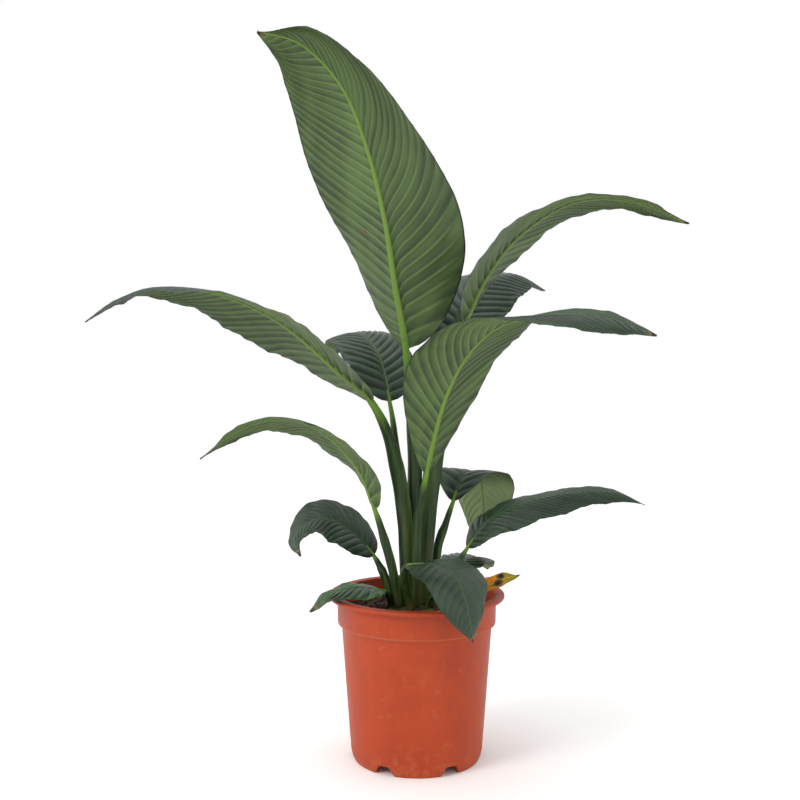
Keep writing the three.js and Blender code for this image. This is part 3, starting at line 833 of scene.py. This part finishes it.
def terracottaPlastic(look):
    finish, tree, shader = newFinish("terracottaPlastic")
    place = addNode(tree, "TexCoord").outputs["Object"]
    height = addNode(tree, "SeparateXYZ", {0: place}).outputs[2]
    mottle = speckle(tree, place, 26.0, 5.0, 0.6)
    flow = speckle(tree, stretched(tree, place, (34.0, 34.0, 7.0)), 1.0, 4.0)
    tone = plus(tree, times(tree, mottle, 0.5), times(tree, flow, 0.5))
    tint = mixTint(tree, fade(tree, tone, 0.34, 0.66), look["deep"], look["light"])
    tint = mixTint(tree, times(tree, fade(tree, height, 0.188, 0.196), 0.6), tint, look["lip"])
    # dust near the foot and along the ledge, fine scratches, a few soil stains
    dust = fade(tree, plus(tree, speckle(tree, place, 90.0, 5.0, 0.65),
                           times(tree, fade(tree, height, 0.045, 0.0), 0.16)), 0.56, 0.74)
    tint = mixTint(tree, times(tree, dust, 0.4), tint, look["dusty"])
    ledge = times(tree, fade(tree, height, 0.1605, 0.1625), fade(tree, height, 0.1655, 0.1640))
    tint = mixTint(tree, times(tree, ledge, 0.5), tint, look["dusty"])
    scratch = speckle(tree, stretched(tree, place, (30.0, 30.0, 420.0)), 1.0, 3.0, 0.7)
    scratch = fade(tree, scratch, 0.66, 0.74)
    tint = mixTint(tree, times(tree, scratch, 0.22), tint, look["dusty"])
    stain = fade(tree, speckle(tree, place, 34.0, 6.0, 0.7, 0.6), 0.64, 0.74)
    tint = mixTint(tree, times(tree, stain, 0.3), tint, look["grime"])
    pits = fade(tree, speckle(tree, place, 330.0, 3.0, 0.6), 0.68, 0.78)
    tint = mixTint(tree, times(tree, pits, 0.4), tint, look["grime"])
    tree.links.new(tint, shader.inputs["Base Color"])
    rough = spread(tree, mottle, 0.40, 0.56)
    tree.links.new(plus(tree, rough, times(tree, dust, 0.2)), shader.inputs["Roughness"])
    grain = speckle(tree, place, 700.0, 4.0)
    relief = plus(tree, times(tree, grain, 0.5), times(tree, flow, 1.2))
    tree.links.new(bumpFrom(tree, relief, 0.25, 0.6 * mm), shader.inputs["Normal"])
    shader.inputs["Specular IOR Level"].default_value = look["specular"]
    return finish


def turnedMesh(name, profile, segments):
    # a closed solid turned about the Z axis; the first and last points lie on the axis
    work = bmesh.new()
    rings = []
    for radius, height in profile:
        ring = []
        for k in range(segments if radius else 1):
            a = 2 * math.pi * k / segments
            spot = (radius * mm * math.cos(a), radius * mm * math.sin(a), height * mm)
            ring.append(work.verts.new(spot))
        rings.append(ring)
    for lower, upper in zip(rings, rings[1:]):
        for k in range(segments):
            n = (k + 1) % segments
            corners = [lower[k % len(lower)], lower[n % len(lower)]]
            corners += [upper[n % len(upper)], upper[k % len(upper)]]
            corners = list(dict.fromkeys(corners))
            if len(corners) > 2:
                work.faces.new(corners)
    bmesh.ops.recalc_face_normals(work, faces=work.faces)
    mesh = bpy.data.meshes.new(name)
    work.to_mesh(mesh)
    work.free()
    return mesh


boxFaces = ((0, 1, 2, 3), (7, 6, 5, 4), (0, 4, 5, 1), (1, 5, 6, 2), (2, 6, 7, 3), (3, 7, 4, 0))


def potCutters(look):
    # one mesh with all the foot notches and drain holes
    work = bmesh.new()
    for i in range(look["notches"]):
        turn = Matrix.Rotation(-math.pi / 2 + (i + 0.5) * 2 * math.pi / look["notches"], 4, "Z")
        corners = []
        top, low, high = look["notchTop"] / 2, look["notchBottom"] / 2, look["notchHeight"]
        for x in look["notchFrom"]:
            for y, z in ((-low, -0.5), (low, -0.5), (top, high), (-top, high)):
                corners.append(work.verts.new(turn @ Vector((x * mm, y * mm, z * mm))))
        for face in boxFaces:
            work.faces.new([corners[k] for k in face])
    for i in range(look["holes"]):
        turn = Matrix.Rotation(i * 2 * math.pi / look["holes"] + look["holeTurn"], 4, "Z")
        spot = turn @ Matrix.Translation((look["holeDistance"] * mm, 0, 13 * mm))
        bmesh.ops.create_cone(work, cap_ends=True, segments=24, radius1=look["holeRadius"] * mm,
                              radius2=look["holeRadius"] * mm, depth=6 * mm, matrix=spot)
    bmesh.ops.recalc_face_normals(work, faces=work.faces)
    mesh = bpy.data.meshes.new("potCutters")
    work.to_mesh(mesh)
    work.free()
    cutter = bpy.data.objects.new("potCutters", mesh)
    bpy.context.scene.collection.objects.link(cutter)
    return cutter


potMesh = turnedMesh("nurseryPot", pot["outside"] + pot["inside"], pot["segments"])
potPiece = bpy.data.objects.new("nurseryPot", potMesh)
bpy.context.scene.collection.objects.link(potPiece)
cutter = potCutters(pot)
cut = potPiece.modifiers.new("notches", "BOOLEAN")
cut.object, cut.operation, cut.solver = cutter, "DIFFERENCE", "EXACT"
soften = potPiece.modifiers.new("edges", "BEVEL")
soften.width, soften.segments = pot["bevel"] * mm, 2
soften.limit_method, soften.angle_limit = "ANGLE", math.radians(pot["bevelAngle"])
bpy.context.view_layer.update()
shaped = potPiece.evaluated_get(bpy.context.evaluated_depsgraph_get())
finished = bpy.data.meshes.new_from_object(shaped)
bpy.data.objects.remove(potPiece)
bpy.data.objects.remove(cutter)
finished.name = "nurseryPot"
# welds the slivers that cutting and bevelling leave
welded = bmesh.new()
welded.from_mesh(finished)
bmesh.ops.remove_doubles(welded, verts=welded.verts, dist=pot["weld"] * mm)
bmesh.ops.dissolve_degenerate(welded, edges=welded.edges, dist=pot["weld"] * mm)
welded.to_mesh(finished)
welded.free()
finished.polygons.foreach_set("use_smooth", [True] * len(finished.polygons))
finished.set_sharp_from_angle(angle=math.radians(pot["sharpAngle"]))
pieceFromMesh("nurseryPot", finished, "pot", [terracottaPlastic(pot)])
print("pot made")


# soil

soil = {
    "top": [(0, 182), (40, 180.5), (60, 178), (76, 176), (88, 175), (91.6, 174.6)],
    "below": [(91.4, 168), (88, 162), (86.8, 160), (77.5, 15), (0, 14.6)],
    "rings": 44, "segments": 132, "lumps": 1.6, "radius": 91.6, "crumbsWithin": 87,
    "clods": 230, "clodSize": (1.4, 4.6), "chips": 46, "chipSize": (3.5, 8.0), "grit": 40,
    "dark": rgb(28, 16, 11), "brown": rgb(66, 38, 24),
    "rust": rgb(112, 62, 36), "pale": rgb(176, 128, 78),
    "seed": 5,
}


def pottingSoil(look):
    finish, tree, shader = newFinish("pottingSoil")
    place = addNode(tree, "TexCoord").outputs["Object"]
    coarse = speckle(tree, place, 150.0, 6.0, 0.7)
    fine = speckle(tree, place, 700.0, 4.0, 0.7)
    tint = mixTint(tree, fade(tree, coarse, 0.36, 0.62), look["dark"], look["brown"])
    tint = mixTint(tree, times(tree, fade(tree, fine, 0.56, 0.72), 0.7), tint, look["rust"])
    tint = mixTint(tree, attributeValue(tree, "chip"), tint, look["rust"])
    fleck = fade(tree, speckle(tree, place, 380.0, 2.0, 0.5), 0.72, 0.78)
    tint = mixTint(tree, times(tree, fleck, 0.8), tint, look["pale"])
    tree.links.new(tint, shader.inputs["Base Color"])
    rough = spread(tree, fine, 0.78, 0.96)
    tree.links.new(rough, shader.inputs["Roughness"])
    relief = plus(tree, coarse, times(tree, fine, 0.6))
    tree.links.new(bumpFrom(tree, relief, 0.9, 2 * mm), shader.inputs["Normal"])
    return finish


def soilHeight(radius):
    return np.interp(radius, [r for r, _ in soil["top"]], [z for _, z in soil["top"]])


def soilMesh(look):
    segments = look["segments"]
    radii = list(np.linspace(0, 1, look["rings"]) ** 0.85 * look["radius"])
    angles = np.linspace(0, 2 * np.pi, segments, endpoint=False)
    points, rings = [], []
    for radius in radii[1:]:
        ring = []
        for a in angles:
            x, y = radius * math.cos(a), radius * math.sin(a)
            rough = noise.fractal(Vector((x * 0.09, y * 0.09, 3.0)), 0.9, 2.1, 4)
            rough += 0.5 * noise.noise(Vector((x * 0.45, y * 0.45, 8.0)))
            ring.append(len(points))
            calm = 1 if radius < 90 else 0.4
            points.append((x, y, soilHeight(radius) + look["lumps"] * rough * calm))
        rings.append(ring)
    for radius, height in look["below"][:-1]:
        rings.append([len(points) + k for k in range(segments)])
        points += [(radius * math.cos(a), radius * math.sin(a), height) for a in angles]
    top, bottom = len(points), len(points) + 1
    points += [(0, 0, look["top"][0][1]), (0, 0, look["below"][-1][1])]
    faces = []
    for k in range(segments):
        n = (k + 1) % segments
        faces.append((top, rings[0][k], rings[0][n]))
        faces.append((bottom, rings[-1][n], rings[-1][k]))
        for inner, outer in zip(rings, rings[1:]):
            faces.append((inner[k], outer[k], outer[n], inner[n]))
    mesh = bpy.data.meshes.new("pottingSoil")
    mesh.from_pydata([tuple(c * mm for c in p) for p in points], [], faces)
    chip = mesh.attributes.new("chip", "FLOAT", "POINT")
    chip.data.foreach_set("value", [0.0] * len(points))
    mesh.polygons.foreach_set("use_smooth", [True] * len(mesh.polygons))
    return mesh


def crumbsMesh(look):
    # loose clods, bark chips and grit lying on the soil
    chance = random.Random(look["seed"])
    work = bmesh.new()
    chipLayer = work.verts.layers.float.new("chip")
    kinds = ["clod"] * look["clods"] + ["chip"] * look["chips"] + ["grit"] * look["grit"]
    for kind in kinds:
        radius = math.sqrt(chance.uniform(0.03, 1)) * look["crumbsWithin"]
        angle = chance.uniform(0, 2 * math.pi)
        if kind == "clod":
            size = chance.uniform(*look["clodSize"]) * chance.uniform(0.6, 1)
            scale = (size, size * chance.uniform(0.7, 1), size * chance.uniform(0.5, 0.85))
            sink, shade = 0.25, chance.uniform(0, 0.35)
        elif kind == "chip":
            size = chance.uniform(*look["chipSize"])
            scale = (size, size * chance.uniform(0.3, 0.55), size * chance.uniform(0.12, 0.22))
            sink, shade = 0.1, chance.uniform(0.35, 1)
        else:
            size = chance.uniform(0.7, 1.3)
            scale = (size, size, size)
            sink, shade = 0.2, chance.uniform(0.2, 1)
        x, y = radius * math.cos(angle), radius * math.sin(angle)
        z = float(soilHeight(radius)) + scale[2] * (1 - 2 * sink)
        place = (Matrix.Translation((x * mm, y * mm, z * mm))
                 @ Matrix.Rotation(chance.uniform(0, 6.28), 4, "Z")
                 @ Matrix.Rotation(chance.uniform(-0.4, 0.4), 4, "X")
                 @ Matrix.Rotation(chance.uniform(-0.3, 0.3), 4, "Y")
                 @ Matrix.Diagonal((scale[0] * mm, scale[1] * mm, scale[2] * mm, 1)))
        made = bmesh.ops.create_icosphere(work, subdivisions=2, radius=1.0)
        shift = Vector((chance.uniform(0, 50), chance.uniform(0, 50), chance.uniform(0, 50)))
        for vert in made["verts"]:
            rough = noise.noise(vert.co * 1.3 + shift) + 0.5 * noise.noise(vert.co * 3.1 + shift)
            vert.co = place @ (vert.co * (1 + 0.42 * rough))
            vert[chipLayer] = shade
    mesh = bpy.data.meshes.new("soilCrumbs")
    work.to_mesh(mesh)
    work.free()
    return mesh


soilFinish = pottingSoil(soil)
pieceFromMesh("pottingSoil", soilMesh(soil), "soil", [soilFinish])
pieceFromMesh("soilCrumbs", crumbsMesh(soil), None, [soilFinish])
print("soil made")


# crown

crown = {
    "profile": [(0, 128), (12, 128), (22, 150), (28, 168), (31, 176), (33, 180),
                (30, 182.6), (20, 183.6), (0, 184)],
    "x": -3, "segments": 96, "ridges": 17,
    "bark": rgb(70, 56, 34), "green": rgb(84, 96, 44), "scar": rgb(40, 28, 18),
}


def crownSkin(look):
    finish, tree, shader = newFinish("crownSkin")
    place = addNode(tree, "TexCoord").outputs["Object"]
    patches = speckle(tree, place, 90.0, 5.0, 0.65)
    fibre = speckle(tree, stretched(tree, place, (420.0, 420.0, 60.0)), 1.0, 4.0)
    tint = mixTint(tree, fade(tree, patches, 0.4, 0.62), look["bark"], look["green"])
    tint = mixTint(tree, times(tree, fade(tree, fibre, 0.5, 0.68), 0.75), tint, look["scar"])
    tree.links.new(tint, shader.inputs["Base Color"])
    rough = spread(tree, fibre, 0.55, 0.85)
    tree.links.new(rough, shader.inputs["Roughness"])
    tree.links.new(bumpFrom(tree, plus(tree, fibre, patches), 0.7, 1.5 * mm), shader.inputs["Normal"])
    return finish


def crownMesh(look):
    mesh = turnedMesh("leafCrown", look["profile"], look["segments"])
    for vert in mesh.vertices:
        x, y, z = vert.co / mm
        radius, angle = math.hypot(x, y), math.atan2(y, x)
        ridge = abs(math.sin(look["ridges"] * angle / 2 + 0.08 * z)) - 0.5
        lump = noise.noise(Vector((x * 0.12, y * 0.12, z * 0.12)))
        grow = 1 + (0.05 * ridge + 0.07 * lump) * min(1, radius / 20)
        rise = 0.8 * lump * min(1, radius / 15) if z > 181 else 0
        vert.co = Vector(((x * grow + look["x"]) * mm, y * grow * mm, (z - 0.6 + rise) * mm))
    mesh.polygons.foreach_set("use_smooth", [True] * len(mesh.polygons))
    return mesh


pieceFromMesh("leafCrown", crownMesh(crown), "crown", [crownSkin(crown)])
print("crown made")


# floor, light and camera

studio = {
    "floorSize": 80.0, "floorTint": rgb(255, 255, 255), "floorRoughness": 0.9,
    "skyTint": (1.0, 1.0, 1.0, 1), "skyStrength": 1.0,
    "lights": {
        "keyLight": {"at": (-2.1, -1.6, 1.9), "size": 1.3, "power": 40, "tint": (1.0, 0.985, 0.96)},
        "fillLight": {"at": (2.2, -1.6, 1.2), "size": 1.6, "power": 2, "tint": (0.97, 0.985, 1.0)},
        "topLight": {"at": (-0.2, 0.3, 2.8), "size": 1.4, "power": 8, "tint": (1.0, 1.0, 1.0)},
    },
    "aim": (0, 0, 0.4),
    "cameraAt": (-0.020, -1.320, 0.495), "cameraTilt": 2.865, "lens": 50.0, "sensor": 36.0,
}


def makeStudio(look):
    floorMesh = bpy.data.meshes.new("studioFloor")
    s = look["floorSize"] / 2
    floorMesh.from_pydata([(-s, -s, 0), (s, -s, 0), (s, s, 0), (-s, s, 0)], [], [(0, 1, 2, 3)])
    floor = bpy.data.objects.new("studioFloor", floorMesh)
    bpy.context.scene.collection.objects.link(floor)
    finish, tree, shader = newFinish("studioFloor")
    shader.inputs["Base Color"].default_value = look["floorTint"]
    shader.inputs["Roughness"].default_value = look["floorRoughness"]
    floorMesh.materials.append(finish)

    world = bpy.data.worlds.new("studioSky")
    world.use_nodes = True
    sky = world.node_tree.nodes["Background"]
    sky.inputs["Color"].default_value = look["skyTint"]
    sky.inputs["Strength"].default_value = look["skyStrength"]
    bpy.context.scene.world = world

    for name, spec in look["lights"].items():
        lamp = bpy.data.lights.new(name, "AREA")
        lamp.shape, lamp.size = "DISK", spec["size"]
        lamp.energy, lamp.color = spec["power"], spec["tint"]
        light = bpy.data.objects.new(name, lamp)
        light.location = spec["at"]
        light.rotation_euler = (Vector(look["aim"]) - light.location).to_track_quat("-Z", "Y").to_euler()
        bpy.context.scene.collection.objects.link(light)

    lens = bpy.data.cameras.new("studioCamera")
    lens.lens, lens.sensor_width = look["lens"], look["sensor"]
    camera = bpy.data.objects.new("studioCamera", lens)
    camera.location = look["cameraAt"]
    camera.rotation_euler = (math.radians(90 - look["cameraTilt"]), 0, 0)
    bpy.context.scene.collection.objects.link(camera)
    bpy.context.scene.camera = camera
    bpy.context.scene.view_settings.view_transform = "Standard"


makeStudio(studio)
print("studio made")
